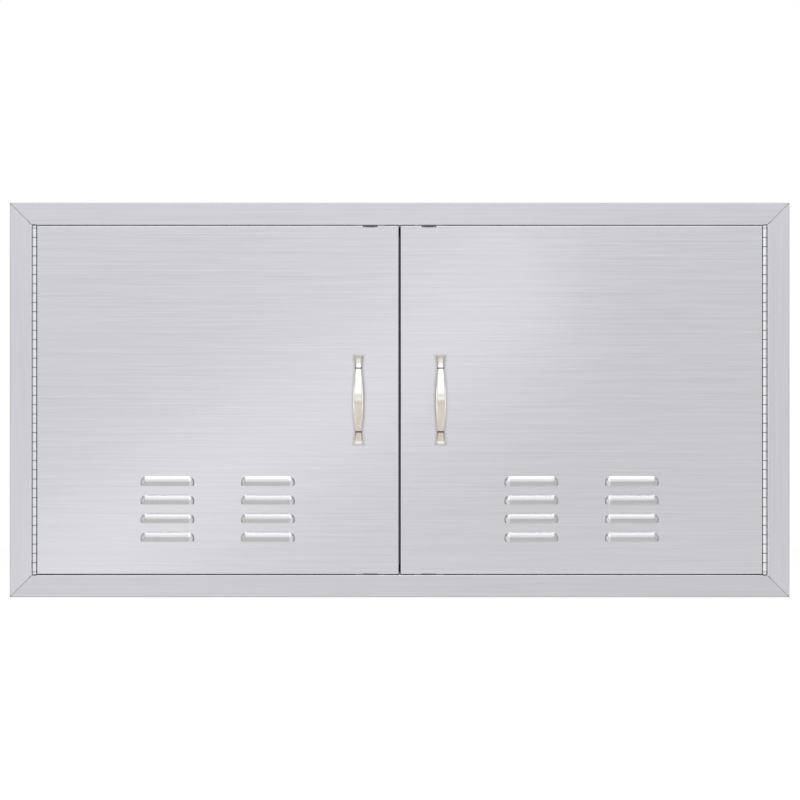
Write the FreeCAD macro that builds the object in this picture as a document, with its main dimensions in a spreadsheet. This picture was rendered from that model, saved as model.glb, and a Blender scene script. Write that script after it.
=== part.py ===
import FreeCAD, Part
import math
import os
from types import SimpleNamespace

import Sketcher
from FreeCAD import Vector

# Double access door for the face of an outdoor kitchen island: a mitred frame of folded sheet, two
# louvred doors on continuous hinges, arched pulls and magnetic catches. Lengths are in millimetres.
#
# X runs to the right along the frame, Y runs back into the island and Z up. The origin is on the
# middle of the sill: x = 0 is the centreline, y = 0 the island's face, on which the flange rests,
# and z = 0 the underside of the box, which stands on the sill of the cut-out.

LEFT = -1
RIGHT = 1
BOTTOM = -1
TOP = 1
SIDE_NAMES = {LEFT: "left", RIGHT: "right"}
LEVEL_NAMES = {BOTTOM: "bottom", TOP: "top"}

DIMENSIONS = [
    # the face frame
    ("overall_width", 1066.8, "outside of the face frame from side to side"),
    ("overall_height", 539.75, "outside of the face frame from bottom to top"),
    ("flange_width", 30.5, "visible width of each frame member"),
    ("flange_standoff", 6.35, "from the island's face to the front of the flange"),
    ("hem_width", 8.0, "hem that rests on the island's face"),
    ("frame_sheet", 1.0, "thickness of the frame's sheet"),
    ("frame_bend", 1.5, "outer radius of the frame's bends"),
    ("jamb_depth", 32.0, "how far the jambs reach behind the island's face"),
    ("rear_lip", 12.0, "lip along the rear edge of each jamb"),
    ("mitre_gap", 0.3, "open line between two members at a mitre"),
    ("gusset_leg", 72.0, "length of each leg of a corner gusset"),
    ("gusset_sheet", 1.2, "thickness of a corner gusset"),
    ("gusset_clearance", 3.5, "from a jamb to the gusset beside it"),
    ("mount_hole_radius", 2.5, "screw holes through the jambs"),
    ("mount_hole_setback", 22.0, "from the island's face to the screw holes"),
    ("side_hole_spacing", 320.0, "between the two holes in a side jamb"),
    ("sill_hole_spacing", 600.0, "between the two holes in the top or bottom jamb"),
    # the doors
    ("door_sheet", 1.0, "thickness of the doors' sheet"),
    ("door_depth", 19.0, "from the front of a door to its rear lip"),
    ("door_bend", 1.5, "outer radius of the doors' bends"),
    ("door_lip", 12.0, "lip turned in round the back of a door"),
    ("lip_mitre_gap", 0.8, "open mitre between two rear lips"),
    ("door_top_gap", 0.7, "between a door and the jamb above it"),
    ("door_bottom_gap", 1.1, "between a door and the jamb below it"),
    ("door_middle_gap", 2.4, "between the two doors"),
    ("seal_gap", 0.06, "between the rubber seals on the doors' free edges"),
    ("seal_setback", 1.6, "from the front of a door to its seal"),
    ("seal_depth", 1.6, "from the front of a seal to its back"),
    ("seal_end_gap", 3.0, "from a door's edge to the end of its seal"),
    ("seal_nose", 0.4, "rounding of a seal's front corner"),
    # the louvres
    ("louvre_length", 74.0, "outside length of a louvre"),
    ("louvre_rise", 13.2, "height of a louvre above its sheared edge"),
    ("louvre_depth", 5.0, "how far a louvre stands out of the door"),
    ("louvre_brow_height", 4.2, "from the sheared edge to where a louvre stands out most"),
    ("louvre_column_pitch", 137.5, "between the two columns of louvres"),
    ("louvre_row_pitch", 25.4, "between two rows of louvres"),
    ("louvre_columns", 2, "columns of louvres on a door"),
    ("louvre_rows", 4, "rows of louvres on a door"),
    ("louvre_base_height", 46.9, "from the sill to the lowest sheared edge"),
    # the continuous hinges
    ("hinge_sheet", 1.5, "thickness of the hinge leaves"),
    ("hinge_pin_radius", 1.59, "radius of the hinge pin"),
    ("hinge_pin_clearance", 0.08, "between the pin and the inside of a knuckle"),
    ("hinge_leaf_width", 12.7, "from the pin's axis to the edge of a leaf"),
    ("knuckle_pitch", 12.7, "from one knuckle to the next, leaf and leaf in turn"),
    ("knuckle_gap", 0.5, "between two knuckles"),
    ("knuckle_relief", 0.35, "between a knuckle and the notch in the other leaf"),
    ("hinge_end_gap", 1.1, "from the hinge's ends to the jambs"),
    # the pulls
    ("handle_length", 120.5, "over the two feet of a pull"),
    ("handle_rise", 28.0, "from the door to the crown of a pull"),
    ("handle_bar", 7.0, "thickness of the bow at its crown"),
    ("handle_foot_rise", 3.5, "thickness of a foot at its end"),
    ("handle_foot_length", 16.25, "length of a foot on the door"),
    ("handle_crown_width", 14.2, "width of a pull at its crown"),
    ("handle_neck_width", 9.6, "width of a pull at its necks"),
    ("handle_foot_width", 12.8, "width of a foot at its end"),
    ("handle_neck_inset", 16.75, "from the end of a foot to the groove at its neck"),
    ("handle_groove_radius", 0.55, "half-round groove across each neck"),
    ("handle_bevel", 2.0, "bevel along the edges of a pull"),
    ("handle_softening", 0.5, "smaller bevel along both edges of the first one"),
    ("handle_inset", 54.9, "from a door's free edge to the middle of its pull"),
    ("handle_screw_inset", 12.25, "from the end of a foot to its screw"),
    ("handle_screw_radius", 2.0, "radius of a pull's screw"),
    ("handle_screw_bite", 4.5, "how far a screw reaches into its foot"),
    ("handle_screw_head_radius", 3.6, "head of a pull's screw"),
    ("handle_screw_head_height", 2.4, "head of a pull's screw"),
    ("tapped_clearance", 0.05, "between a screw and its tapped hole"),
    ("passing_clearance", 0.3, "between a screw and the hole that it passes"),
    ("stiffener_width", 28.0, "web of the channel behind a pull"),
    ("stiffener_depth", 13.0, "legs of the channel behind a pull"),
    ("stiffener_sheet", 1.2, "thickness of the channel behind a pull"),
    ("stiffener_bend", 1.6, "outer radius of the channel's bends"),
    ("stiffener_end_gap", 30.0, "from a door's edge to the end of the channel"),
    # the magnetic catches
    ("catch_inset", 39.0, "from a door's free edge to the middle of a catch"),
    ("catch_width", 20.0, "width of a catch's block"),
    ("catch_height", 12.0, "from the jamb to the far side of the block"),
    ("catch_depth", 18.0, "from the front of the block to its back"),
    ("catch_ear_span", 35.0, "over the two ears of a catch"),
    ("catch_ear_sheet", 2.0, "thickness of the ears"),
    ("catch_ear_length", 14.0, "length of the ears from front to back"),
    ("catch_wall", 1.5, "wall of the block round its magnet"),
    ("catch_play", 0.15, "between the magnet's pieces and the block"),
    ("pole_sheet", 1.5, "thickness of a pole plate"),
    ("pole_stand_out", 0.4, "how far the pole plates stand out of the block"),
    ("magnet_length", 12.0, "length of the magnet from front to back"),
    ("catch_air_gap", 0.3, "between the pole plates and the strike plate"),
    ("catch_screw_radius", 1.5, "radius of a catch's screw"),
    ("catch_screw_head_radius", 2.8, "head of a catch's screw"),
    ("catch_screw_head_height", 1.5, "head of a catch's screw"),
    ("catch_screw_length", 2.9, "from under the head to the tip"),
    ("catch_passage", 1.0, "between a catch and the cut-out in the door round it"),
    ("notch_depth_top", 2.5, "notch in the door's front over an upper catch"),
    ("notch_depth_bottom", 1.0, "notch in the door's front under a lower catch"),
    ("strike_sheet", 1.2, "thickness of a strike plate"),
    ("strike_margin", 1.0, "from the notch to the strike plate"),
    ("strike_height", 8.0, "height of a strike plate"),
]


class Size:
    """A number together with the sheet formula that it comes from, so that sums stay bound to cells."""

    def __init__(self, value, formula):
        self.value = value
        self.formula = formula

    def joined(self, other, sign, value):
        return Size(value, f"({self.formula} {sign} {as_size(other).formula})")

    def __add__(self, other):
        return self.joined(other, "+", self.value + as_size(other).value)

    def __sub__(self, other):
        return self.joined(other, "-", self.value - as_size(other).value)

    def __mul__(self, other):
        return self.joined(other, "*", self.value * as_size(other).value)

    def __truediv__(self, other):
        return self.joined(other, "/", self.value / as_size(other).value)

    def __radd__(self, other):
        return as_size(other) + self

    def __rsub__(self, other):
        return as_size(other) - self

    def __rmul__(self, other):
        return as_size(other) * self

    def __neg__(self):
        return 0 - self

    def floor(self):
        return Size(math.floor(self.value), f"floor({self.formula})")

    def root(self):
        return Size(math.sqrt(self.value), f"sqrt({self.formula})")


def as_size(number):
    return number if isinstance(number, Size) else Size(number, repr(number))


def fill_sheet(document):
    """Put every driving dimension in a cell with a name, and return the names as sizes."""
    sheet = document.addObject("Spreadsheet::Sheet", "Sizes")
    for row, (alias, value, meaning) in enumerate(DIMENSIONS, start=1):
        sheet.set(f"A{row}", alias)
        sheet.set(f"B{row}", str(value))
        sheet.setAlias(f"B{row}", alias)
        sheet.set(f"C{row}", meaning)
    document.recompute()
    return SimpleNamespace(
        **{alias: Size(getattr(sheet, alias), f"Sizes.{alias}") for alias, value, meaning in DIMENSIONS}
    )


# Outlines. A path is a closed list of steps (x, y, arc): each step is a point, and arc says how the
# path goes on from it, None for a straight line or (radius, turn, wide) for an arc, with turn 1 for
# counter-clockwise and -1 for clockwise, and wide for an arc of more than half a circle.


def polygon(*points):
    return [(x, y, None) for x, y in points]


def rectangle(left, right, low, high):
    return polygon((left, low), (right, low), (right, high), (left, high))


def heading(start, end):
    """The direction of a level or upright line, as two numbers from -1, 0 and 1."""
    across = end[0].value - start[0].value
    up = end[1].value - start[1].value
    if abs(across) > abs(up):
        return int(math.copysign(1, across)), 0
    return 0, int(math.copysign(1, up))


def shifted(number, direction, radius):
    return number if direction == 0 else number + direction * radius


def folded(*corners):
    """Round the right-angled corners (x, y, radius) of an outline into bends, None staying sharp."""
    corners = [(as_size(x), as_size(y), radius) for x, y, radius in corners]
    path = []
    for index, corner in enumerate(corners):
        x, y, radius = corner
        if radius is None:
            path.append((x, y, None))
            continue
        entry = heading(corners[index - 1], corner)
        leave = heading(corner, corners[(index + 1) % len(corners)])
        turn = entry[0] * leave[1] - entry[1] * leave[0]
        path.append((shifted(x, -entry[0], radius), shifted(y, -entry[1], radius), (radius, turn, False)))
        path.append((shifted(x, leave[0], radius), shifted(y, leave[1], radius), None))
    return path


def arc_between(start, end, radius, turn, wide):
    """The arc that turns one way from start to end, drawn counter-clockwise as sketches keep it."""
    chord = end - start
    left = Vector(-chord.y, chord.x, 0).normalize()
    rise = math.sqrt(max(radius**2 - (chord.Length / 2) ** 2, 0))
    centre = (start + end) / 2 + left * rise * turn * (-1 if wide else 1)
    first, last = (start, end) if turn > 0 else (end, start)
    begin = math.atan2(first.y - centre.y, first.x - centre.x)
    finish = math.atan2(last.y - centre.y, last.x - centre.x)
    if finish <= begin:
        finish += 2 * math.pi
    return Part.ArcOfCircle(Part.Circle(centre, Vector(0, 0, 1), radius), begin, finish)


def bind(sketch, kind, size, *targets):
    """Add a dimension to a sketch and tie it to the formula of a size."""
    index = sketch.addConstraint(Sketcher.Constraint(kind, *targets, float(size.value)))
    sketch.setExpression(f"Constraints[{index}]", size.formula)


def add_path(sketch, path):
    """Draw a closed path whose points and radii are all dimensions."""
    START, END, ORIGIN = 1, 2, -1
    path = [(as_size(x), as_size(y), arc) for x, y, arc in path]
    points = [Vector(x.value, y.value, 0) for x, y, arc in path]
    tails = []
    heads = []
    for index, (x, y, arc) in enumerate(path):
        start, end = points[index], points[(index + 1) % len(path)]
        if arc is None:
            line = sketch.addGeometry(Part.LineSegment(start, end), False)
            tails.append((line, START))
            heads.append((line, END))
            continue
        radius, turn, wide = as_size(arc[0]), arc[1], arc[2]
        bend = sketch.addGeometry(arc_between(start, end, radius.value, turn, wide), False)
        tails.append((bend, START if turn > 0 else END))
        heads.append((bend, END if turn > 0 else START))
        bind(sketch, "Radius", radius, bend)
    for index, (x, y, arc) in enumerate(path):
        sketch.addConstraint(Sketcher.Constraint("Coincident", *heads[index - 1], *tails[index]))
        bind(sketch, "DistanceX", x, ORIGIN, START, *tails[index])
        bind(sketch, "DistanceY", y, ORIGIN, START, *tails[index])


def add_circle(sketch, x, y, radius):
    CENTRE, START, ORIGIN = 3, 1, -1
    x, y, radius = as_size(x), as_size(y), as_size(radius)
    outline = Part.Circle(Vector(x.value, y.value, 0), Vector(0, 0, 1), radius.value)
    circle = sketch.addGeometry(outline, False)
    bind(sketch, "Radius", radius, circle)
    bind(sketch, "DistanceX", x, ORIGIN, START, circle, CENTRE)
    bind(sketch, "DistanceY", y, ORIGIN, START, circle, CENTRE)


# Features. FRONT is the plane seen from the front (X across, Z up, and its normal points to the
# viewer, -Y), PLAN is seen from above (X across, Y up) and SIDE from the right (Y across, Z up).

FRONT = "XZ_Plane"
PLAN = "XY_Plane"
SIDE = "YZ_Plane"


def new_body(label):
    body = FreeCAD.ActiveDocument.addObject("PartDesign::Body", label)
    body.Label = label
    return body


def origin_feature(body, role):
    return next(feature for feature in body.Origin.OriginFeatures if feature.Role == role)


def new_sketch(body, name, role, paths=(), circles=(), offset=None):
    """A sketch on one of the body's own planes, moved along the plane's normal by offset."""
    sketch = body.newObject("Sketcher::SketchObject", f"{body.Label}_{name}")
    sketch.AttachmentSupport = [(origin_feature(body, role), "")]
    sketch.MapMode = "FlatFace"
    if offset is not None:
        sketch.setExpression("AttachmentOffset.Base.z", as_size(offset).formula)
    for path in paths:
        add_path(sketch, path)
    for x, y, radius in circles:
        add_circle(sketch, x, y, radius)
    return sketch


def extrude(kind, body, sketch, length, centred=False, against_normal=False):
    feature = body.newObject(f"PartDesign::{kind}", f"{sketch.Name}_{kind.lower()}")
    feature.Profile = sketch
    feature.setExpression("Length", as_size(length).formula)
    feature.SideType = "Symmetric" if centred else "One side"
    feature.Reversed = against_normal
    return feature


def pad(body, sketch, length, centred=False, against_normal=False):
    return extrude("Pad", body, sketch, length, centred, against_normal)


def pocket(body, sketch, length, centred=False, along_normal=False):
    """A cut goes against the sketch's normal unless it is told to go along it."""
    return extrude("Pocket", body, sketch, length, centred, along_normal)


def cut_through(body, sketch, thickness):
    """Cut right through a piece whose thickness lies somewhere within twice itself of the sketch."""
    return pocket(body, sketch, 4 * thickness, centred=True)


def turned(kind, body, sketch, axis, angle, reverse):
    feature = body.newObject(f"PartDesign::{kind}", f"{sketch.Name}_{kind.lower()}")
    feature.Profile = sketch
    feature.ReferenceAxis = axis
    feature.Angle = angle
    feature.Reversed = reverse
    return feature


def repeat(body, features, role, spacing, count, name):
    """A row of copies of some features along one of the body's axes."""
    pattern = body.newObject("PartDesign::LinearPattern", f"{body.Label}_{name}")
    pattern.Originals = features
    pattern.Direction = (origin_feature(body, role), [""])
    pattern.Mode = "Spacing"
    pattern.setExpression("Offset", as_size(spacing).formula)
    pattern.setExpression("Occurrences", as_size(count).formula)
    body.Tip = pattern
    return pattern


def outermost_edges(shape, plane_y, left, right, low, high):
    """Names of the edges that bound the flat front of a plate from left to right and low to high."""
    names = []
    for number, edge in enumerate(shape.Edges, start=1):
        box = edge.BoundBox
        flat = abs(box.YMin - plane_y) < 1e-4 and abs(box.YMax - plane_y) < 1e-4
        upright = box.XLength < 1e-4 and min(abs(box.XMin - left), abs(box.XMin - right)) < 1e-4
        level = box.ZLength < 1e-4 and min(abs(box.ZMin - low), abs(box.ZMin - high)) < 1e-4
        if flat and (upright or level):
            names.append(f"Edge{number}")
    return names


document = FreeCAD.newDocument("AccessDoor")
size = fill_sheet(document)

# Places that several pieces share.

opening_half_width = size.overall_width / 2 - size.flange_width
opening_bottom = size.frame_sheet
opening_top = opening_bottom + size.overall_height - 2 * size.flange_width
flange_bottom = opening_bottom - size.flange_width
flange_top = opening_top + size.flange_width
flange_front = -size.flange_standoff

knuckle_inner = size.hinge_pin_radius + size.hinge_pin_clearance
knuckle_outer = knuckle_inner + size.hinge_sheet
hinge_axis_x = opening_half_width - knuckle_outer
hinge_axis_y = flange_front
hinge_bottom = opening_bottom + size.hinge_end_gap
hinge_length = opening_top - size.hinge_end_gap - hinge_bottom
frame_knuckles = ((hinge_length / size.knuckle_pitch + 1) / 2).floor()
door_knuckles = frame_knuckles - 1
first_knuckle = (opening_bottom + opening_top - (frame_knuckles + door_knuckles) * size.knuckle_pitch) / 2

door_outer_x = hinge_axis_x - knuckle_outer
door_inner_x = size.door_middle_gap / 2
door_centre_x = (door_outer_x + door_inner_x) / 2
door_bottom = opening_bottom + size.door_bottom_gap
door_top = opening_top - size.door_top_gap
door_front = flange_front
door_skin_back = door_front + size.door_sheet
door_back = door_front + size.door_depth

handle_x = door_inner_x + size.handle_inset
handle_z = (opening_bottom + opening_top) / 2
handle_neck = size.handle_length / 2 - size.handle_neck_inset
handle_screw = size.handle_length / 2 - size.handle_screw_inset
catch_x = door_inner_x + size.catch_inset
strike_back = door_skin_back + size.strike_sheet
pole_front = strike_back + size.catch_air_gap
catch_front = pole_front + size.pole_stand_out
catch_screw_offset = (size.catch_width + size.catch_ear_span) / 4
catch_screw_y = catch_front + size.catch_ear_length / 2


# The face frame. Each member is one strip of sheet folded five times. Its section is drawn with
# inward as the distance towards the middle of the opening, and back as the distance along Y.


def member_section(place):
    """The folded strip, with place(outward, back) turning distances from the jamb's face into a point."""
    sheet = size.frame_sheet
    outer = size.frame_bend
    inner = size.frame_bend - size.frame_sheet
    width = size.flange_width
    corners = [
        (0, size.jamb_depth - sheet, inner),
        (0, flange_front, outer),
        (width, flange_front, outer),
        (width, 0, outer),
        (width - size.hem_width, 0, None),
        (width - size.hem_width, -sheet, None),
        (width - sheet, -sheet, inner),
        (width - sheet, flange_front + sheet, inner),
        (sheet, flange_front + sheet, inner),
        (sheet, size.jamb_depth, outer),
        (-size.rear_lip, size.jamb_depth, None),
        (-size.rear_lip, size.jamb_depth - sheet, None),
    ]
    return folded(*[(*place(outward, back), radius) for outward, back, radius in corners])


def mitre_waste(end, level):
    """The triangle that is cut off a level member at one end, as a path in the front view."""
    inner_z = opening_top if level == TOP else opening_bottom
    reach = size.rear_lip + size.frame_bend
    overshoot = size.frame_bend
    gap = size.mitre_gap / 2
    tip_x = end * (size.overall_width / 2 + overshoot)
    tip_z = inner_z + level * (size.flange_width + overshoot + gap)
    root_x = end * (opening_half_width - reach)
    root_z = inner_z - level * (reach - gap)
    return polygon((root_x, root_z), (tip_x, tip_z), (tip_x, root_z))


def make_level_member(level):
    body = new_body(f"frame_{LEVEL_NAMES[level]}")
    inner_z = opening_top if level == TOP else opening_bottom
    section = member_section(lambda outward, back: (back, inner_z + level * outward))
    pad(body, new_sketch(body, "section", SIDE, [section]), size.overall_width, centred=True)
    waste = [mitre_waste(LEFT, level), mitre_waste(RIGHT, level)]
    cut_through(body, new_sketch(body, "mitres", FRONT, waste), size.jamb_depth)
    circles = [
        (side * size.sill_hole_spacing / 2, size.mount_hole_setback, size.mount_hole_radius)
        for side in (LEFT, RIGHT)
    ]
    circles += catch_screw_holes(LEFT) + catch_screw_holes(RIGHT)
    drill_jamb(body, circles, PLAN, inner_z)


def make_upright_member(side):
    body = new_body(f"frame_{SIDE_NAMES[side]}")
    section = member_section(lambda outward, back: (side * (opening_half_width + outward), back))
    sketch = new_sketch(body, "section", PLAN, [section], offset=flange_bottom)
    pad(body, sketch, size.overall_height)
    waste = [upright_mitre_waste(side, BOTTOM), upright_mitre_waste(side, TOP)]
    cut_through(body, new_sketch(body, "mitres", FRONT, waste), size.jamb_depth)
    middle = (opening_bottom + opening_top) / 2
    circles = [
        (size.mount_hole_setback, middle + level * size.side_hole_spacing / 2, size.mount_hole_radius)
        for level in (BOTTOM, TOP)
    ]
    drill_jamb(body, circles, SIDE, side * opening_half_width)


def upright_mitre_waste(side, level):
    """The triangle that is cut off an upright member at one end, as a path in the front view."""
    inner_z = opening_top if level == TOP else opening_bottom
    reach = size.rear_lip + size.frame_bend
    overshoot = size.frame_bend
    gap = size.mitre_gap / 2
    tip_x = side * (size.overall_width / 2 + overshoot + gap)
    tip_z = inner_z + level * (size.flange_width + overshoot)
    root_x = side * (opening_half_width - reach + gap)
    root_z = inner_z - level * reach
    return polygon((root_x, root_z), (tip_x, tip_z), (root_x, tip_z))


def catch_screw_holes(side):
    """The tapped holes of one catch seen from above, the same in its ears and in the jamb."""
    radius = size.catch_screw_radius + size.tapped_clearance
    return [(side * catch_x + ear * catch_screw_offset, catch_screw_y, radius) for ear in (LEFT, RIGHT)]


def drill_jamb(body, circles, plane, jamb_face):
    """Holes through a jamb, whose inner face lies at jamb_face along the plane's normal."""
    cut_through(body, new_sketch(body, "holes", plane, circles=circles, offset=jamb_face), size.frame_sheet)


for level in (BOTTOM, TOP):
    make_level_member(level)
for side in (LEFT, RIGHT):
    make_upright_member(side)


# The corner gussets, flat angle plates spot-welded behind the front of the flange at the mitres.


def make_corner_gusset(level, side):
    body = new_body(f"corner_gusset_{LEVEL_NAMES[level]}_{SIDE_NAMES[side]}")
    corner_z = opening_top if level == TOP else opening_bottom
    near = size.frame_sheet + size.gusset_clearance
    far = size.flange_width - size.frame_bend - size.frame_sheet
    end = far - size.gusset_leg

    def at(outward_x, outward_z):
        return side * (opening_half_width + outward_x), corner_z + level * outward_z

    outline = polygon(at(far, far), at(end, far), at(end, near), at(near, near), at(near, end), at(far, end))
    sketch = new_sketch(body, "outline", FRONT, [outline], offset=-(flange_front + size.frame_sheet))
    pad(body, sketch, size.gusset_sheet, against_normal=True)


for level in (BOTTOM, TOP):
    for side in (LEFT, RIGHT):
        make_corner_gusset(level, side)


# The doors. Each is a tray of sheet with its edges folded back and a lip turned in all round, open
# at the back. Hoods are pressed out of it for the vents, and it is cut away round the catches.


def make_door_panel(side):
    body = new_body(f"door_panel_{SIDE_NAMES[side]}")
    left, right = sorted((side * door_inner_x, side * door_outer_x), key=lambda x: x.value)
    outline = rectangle(left, right, door_bottom, door_top)
    blank = new_sketch(body, "blank", FRONT, [outline], offset=-door_front)
    tray = pad(body, blank, size.door_depth, against_normal=True)
    document.recompute()
    bends = body.newObject("PartDesign::Fillet", f"{body.Label}_bends")
    edges = outermost_edges(
        tray.Shape, door_front.value, left.value, right.value, door_bottom.value, door_top.value
    )
    bends.Base = (tray, edges)
    bends.setExpression("Radius", size.door_bend.formula)
    hollow_out(body, left, right)
    cut_for_catches(body, side)
    drill_for_handle(body, side)
    press_louvres(body, side)


def inset(left, right, low, high, margin):
    return rectangle(left + margin, right - margin, low + margin, high - margin)


def hollow_out(body, left, right):
    """Cut the space between skin and lips, then the opening inside the lips, then the lips' mitres."""
    sheet = size.door_sheet
    inside = inset(left, right, door_bottom, door_top, sheet)
    cavity = new_sketch(body, "cavity", FRONT, [inside], offset=-door_skin_back)
    pocket(body, cavity, size.door_depth - 2 * sheet)
    window = inset(left, right, door_bottom, door_top, size.door_lip)
    cut_through(body, new_sketch(body, "window", FRONT, [window], offset=-door_back), sheet)
    slits = [
        lip_mitre(corner_x, inward_x, corner_z, inward_z)
        for corner_x, inward_x in ((left, 1), (right, -1))
        for corner_z, inward_z in ((door_bottom, 1), (door_top, -1))
    ]
    cut_through(body, new_sketch(body, "lip_mitres", FRONT, slits, offset=-door_back), sheet)


def lip_mitre(corner_x, inward_x, corner_z, inward_z):
    """The open line between two lips, from the inside of the folded corner to the window's corner."""
    half = size.lip_mitre_gap / 2
    near = size.door_sheet
    far = size.door_lip + half

    def at(along_x, along_z):
        return corner_x + inward_x * along_x, corner_z + inward_z * along_z

    return polygon(
        at(near, near + half),
        at(near, near),
        at(near + half, near),
        at(far + half, far),
        at(far, far + half),
    )


def cut_for_catches(body, side):
    """A gap in the folded edge and its lip for each catch, and a shallow notch in the front skin."""
    half_gap = size.catch_ear_span / 2 + size.catch_passage
    half_notch = size.catch_width / 2
    gaps = []
    notches = []
    for edge_z, inward, depth in (
        (door_top, -1, size.notch_depth_top),
        (door_bottom, 1, size.notch_depth_bottom),
    ):
        beyond = edge_z - inward * size.door_sheet
        behind_lip = edge_z + inward * (size.door_lip + size.door_sheet)
        floor_of_notch = edge_z + inward * depth
        gaps.append(rectangle(side * catch_x - half_gap, side * catch_x + half_gap, beyond, behind_lip))
        notches.append(
            rectangle(side * catch_x - half_notch, side * catch_x + half_notch, beyond, floor_of_notch)
        )
    gap_sketch = new_sketch(body, "catch_gaps", FRONT, gaps, offset=-door_skin_back)
    pocket(body, gap_sketch, size.door_depth)
    notch_sketch = new_sketch(body, "catch_notches", FRONT, notches, offset=-door_skin_back)
    cut_through(body, notch_sketch, size.door_sheet)


def handle_screw_places(side):
    return [(side * handle_x, handle_z + end * handle_screw) for end in (BOTTOM, TOP)]


def drill_for_handle(body, side):
    """The two holes through the sheet for a pull's screws."""
    radius = size.handle_screw_radius + size.passing_clearance
    circles = [(x, z, radius) for x, z in handle_screw_places(side)]
    sketch = new_sketch(body, "handle_holes", FRONT, circles=circles, offset=-door_skin_back)
    cut_through(body, sketch, size.door_sheet)


def press_louvres(body, side):
    """Press the lowest hood of the column nearer the left, then repeat it over the rows and columns.

    A hood is sheared along its lower edge and drawn out of the sheet. Its section is an arc that
    leaves the sheet at the top, stands out most at the brow and curls in a little to the sheared
    edge. The middle of the hood is this section drawn straight. Each end is part of a ball, made by
    turning the section about the middle of its arc, and what that leaves behind the skin is cut off.
    """
    sheet = size.door_sheet
    depth = size.louvre_depth
    brow = size.louvre_brow_height
    crown = size.louvre_rise - brow
    outer_radius = (depth * depth + crown * crown) / (2 * depth)
    inner_radius = outer_radius - sheet
    behind = outer_radius - depth
    outer_edge = (outer_radius * outer_radius - brow * brow).root() - behind
    inner_edge = (inner_radius * inner_radius - brow * brow).root() - behind
    inner_crown = (inner_radius * inner_radius - behind * behind).root()
    inner_rise = inner_crown + brow

    first_x = side * door_centre_x - (size.louvre_columns - 1) * size.louvre_column_pitch / 2
    low = size.louvre_base_height
    half_straight = size.louvre_length / 2 - crown
    half_low = half_straight + (inner_crown * inner_crown - brow * brow).root()
    slot = [
        (first_x - half_low, low, None),
        (first_x + half_low, low, (inner_crown, 1, False)),
        (first_x + half_straight, low + inner_rise, None),
        (first_x - half_straight, low + inner_rise, (inner_crown, 1, False)),
    ]
    section = [
        (door_skin_back, low + inner_rise, None),
        (door_front, low + inner_rise, (inner_radius, 1, False)),
        (door_front - inner_edge, low, None),
        (door_front - outer_edge, low, (outer_radius, -1, False)),
        (door_front, low + size.louvre_rise, None),
        (door_skin_back, low + size.louvre_rise, None),
    ]
    slot_sketch = new_sketch(body, "louvre_slot", FRONT, [slot], offset=-door_skin_back)
    features = [cut_through(body, slot_sketch, sheet)]
    middle = new_sketch(body, "louvre_middle", SIDE, [section], offset=first_x)
    features.append(pad(body, middle, 2 * half_straight, centred=True))
    for end in (LEFT, RIGHT):
        end_x = first_x + end * half_straight
        sketch = new_sketch(body, f"louvre_{SIDE_NAMES[end]}", SIDE, [section], offset=end_x)
        middle_of_arc = door_front + behind
        axis = add_axis(sketch, (middle_of_arc, low), (middle_of_arc, low + size.louvre_rise))
        features.append(turned("Revolution", body, sketch, axis, 90, end == LEFT))
    half_reach = half_straight + outer_radius + sheet
    back = rectangle(first_x - half_reach, first_x + half_reach, low - sheet, low + size.louvre_rise + sheet)
    trim = new_sketch(body, "louvre_trim", FRONT, [back], offset=-door_skin_back)
    features.append(pocket(body, trim, behind))
    louvres = repeat(body, features, "Z_Axis", size.louvre_row_pitch, size.louvre_rows, "louvres")
    louvres.Direction2 = (origin_feature(body, "X_Axis"), [""])
    louvres.Mode2 = "Extent"
    louvres.setExpression("Length2", ((size.louvre_columns - 1) * size.louvre_column_pitch).formula)
    louvres.setExpression("Occurrences2", size.louvre_columns.formula)


def add_axis(sketch, start, end):
    """A construction line for a turned feature, with its reference name."""
    START, END, ORIGIN = 1, 2, -1
    points = [Vector(x.value, z.value, 0) for x, z in (start, end)]
    line = sketch.addGeometry(Part.LineSegment(*points), True)
    for place, (x, z) in ((START, start), (END, end)):
        bind(sketch, "DistanceX", x, ORIGIN, START, line, place)
        bind(sketch, "DistanceY", z, ORIGIN, START, line, place)
    return (sketch, ["Axis0"])


def make_meeting_seal(side):
    """A strip of rubber bonded along a door's free edge, so that the line between the doors is closed."""
    body = new_body(f"meeting_seal_{SIDE_NAMES[side]}")
    front = door_front + size.seal_setback
    back = front + size.seal_depth
    edge = side * door_inner_x
    face = side * size.seal_gap / 2
    section = folded(
        (edge, front, None),
        (face, front, size.seal_nose),
        (face, back, None),
        (edge, back, None),
    )
    sketch = new_sketch(body, "section", PLAN, [section], offset=door_bottom + size.seal_end_gap)
    pad(body, sketch, door_top - door_bottom - 2 * size.seal_end_gap)


for side in (LEFT, RIGHT):
    make_door_panel(side)
    make_meeting_seal(side)


# The continuous hinges. The two leaves of a hinge stand face to face when the door is shut, the
# frame's against the jamb and the door's against the folded edge. The edge of each leaf is notched,
# and the tongues between the notches are rolled three quarters of a turn round the pin.


def knuckle_section(axis_x, toward):
    """A tongue and its roll, on the leaf that lies toward -1 or 1 of the pin."""
    notch = hinge_axis_y + knuckle_outer + size.knuckle_relief
    return [
        (axis_x + toward * knuckle_outer, notch, None),
        (axis_x + toward * knuckle_outer, hinge_axis_y, (knuckle_outer, -toward, True)),
        (axis_x, hinge_axis_y + knuckle_outer, None),
        (axis_x, hinge_axis_y + knuckle_inner, (knuckle_inner, toward, True)),
        (axis_x + toward * knuckle_inner, hinge_axis_y, None),
        (axis_x + toward * knuckle_inner, notch, None),
    ]


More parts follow.
